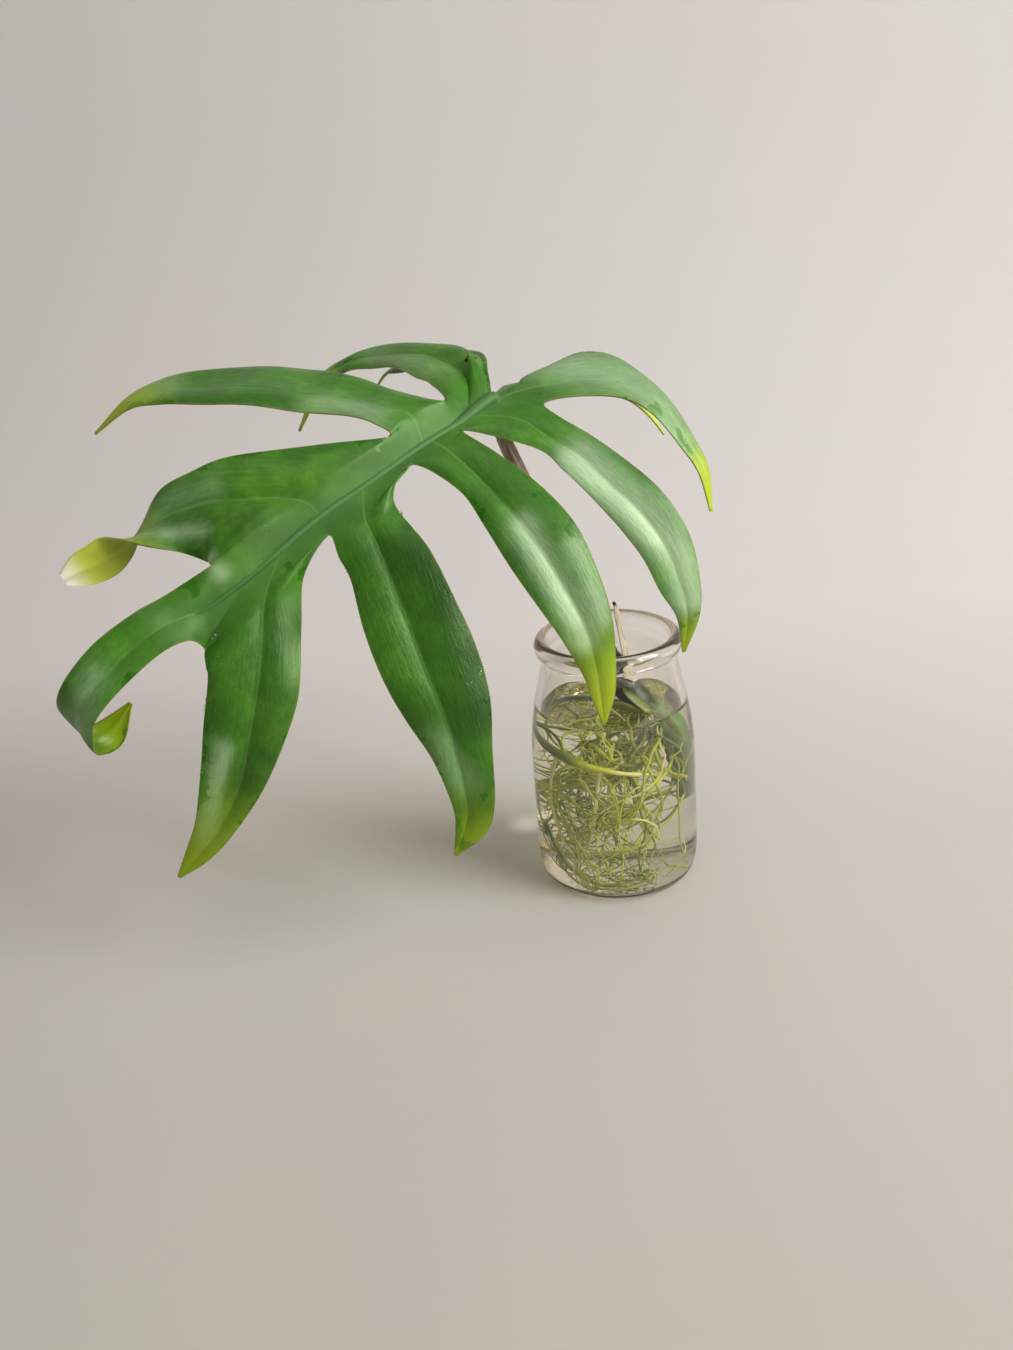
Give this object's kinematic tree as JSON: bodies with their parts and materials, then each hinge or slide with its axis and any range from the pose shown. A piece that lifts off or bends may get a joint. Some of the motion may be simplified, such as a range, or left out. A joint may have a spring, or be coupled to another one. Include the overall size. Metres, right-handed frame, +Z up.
{
  "type": "philodendron cutting in a jar of water",
  "caption": "Cut philodendron stem with one large, deeply lobed leaf, rooting in a small clear glass jar of water.",
  "frame": {"origin": "centre of the jar's flat base, where it stands", "axes": "+Z up along the jar; +X to the right and +Y away from the viewer of the picture, with the leaf reaching towards -X and -Y"},
  "size_m": [0.2368, 0.1334, 0.2125],
  "materials": {
    "glass": "clear pressed glass",
    "water": "clear water, slightly green",
    "stem_and_roots": "olive stem and yellow-green roots, satin",
    "petiole": "purple-brown, satin",
    "dry_sheath": "papery, matt",
    "leaf": "waxy, glossy upper side"
  },
  "bodies": {
    "root": {"jar": "glass", "water": "water", "stem_with_roots": "stem_and_roots", "petiole": "petiole", "sheath": "dry_sheath", "leaf_blade": "leaf"}
  },
  "joints": []
}
